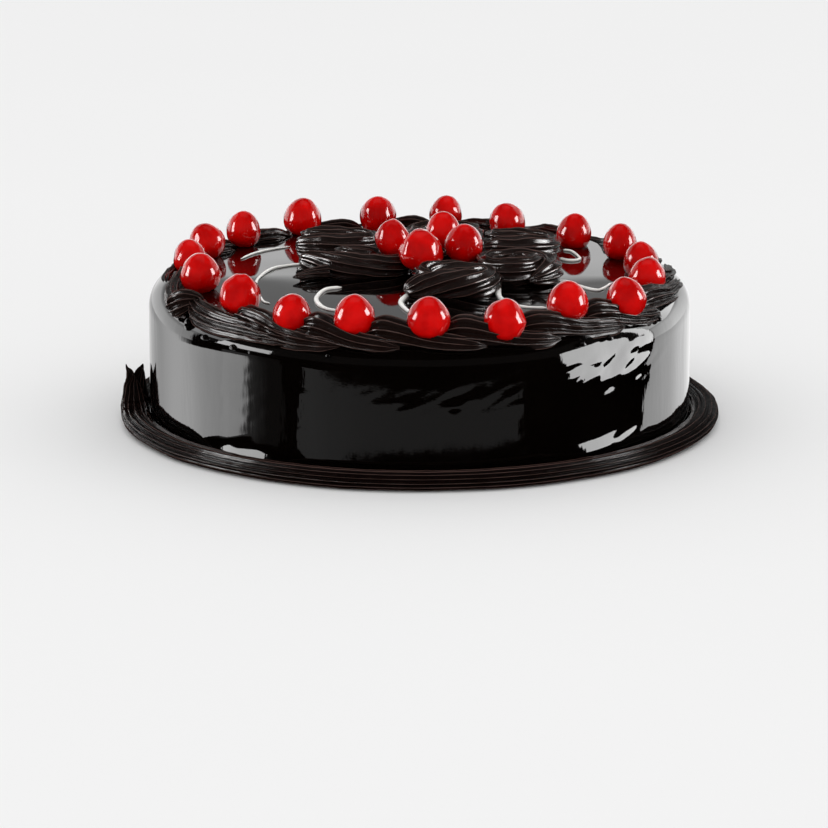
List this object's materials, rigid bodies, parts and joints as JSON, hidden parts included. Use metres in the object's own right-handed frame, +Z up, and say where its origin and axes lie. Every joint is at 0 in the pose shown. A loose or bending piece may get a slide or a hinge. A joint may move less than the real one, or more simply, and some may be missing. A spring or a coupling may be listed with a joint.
{
  "type": "truffle cherry cake",
  "caption": "Round glazed chocolate truffle cake with a piped border, glace cherries round the rim and piped rosettes on top.",
  "frame": {"origin": "middle of the cake's flat base", "axes": "+Z up, -Y towards the side that faces the camera, +X to its right"},
  "size_m": [0.2257, 0.2258, 0.0748],
  "materials": {
    "glaze": "mirror-gloss dark chocolate glaze",
    "piping": "satin dark truffle cream, piped through a star nozzle",
    "cherry": "glossy red glace cherry under syrup",
    "white_chocolate": "thin white chocolate lines, looks only"
  },
  "bodies": {
    "root": {"cake": "glaze", "base_bead": "piping", "top_border": "piping", "rosette_1": "piping", "rosette_2": "piping", "rosette_3": "piping", "rosette_4": "piping", "rosette_5": "piping", "rosette_6": "piping", "centre_dollop": "piping", "ring_cherry_01": "cherry", "ring_cherry_02": "cherry", "ring_cherry_03": "cherry", "ring_cherry_04": "cherry", "ring_cherry_05": "cherry", "ring_cherry_06": "cherry", "ring_cherry_07": "cherry", "ring_cherry_08": "cherry", "ring_cherry_09": "cherry", "ring_cherry_10": "cherry", "ring_cherry_11": "cherry", "ring_cherry_12": "cherry", "ring_cherry_13": "cherry", "ring_cherry_14": "cherry", "ring_cherry_15": "cherry", "ring_cherry_16": "cherry", "ring_cherry_17": "cherry", "ring_cherry_18": "cherry", "ring_cherry_19": "cherry", "centre_cherry_1": "cherry", "centre_cherry_2": "cherry", "centre_cherry_3": "cherry", "centre_cherry_4": "cherry"}
  },
  "joints": []
}
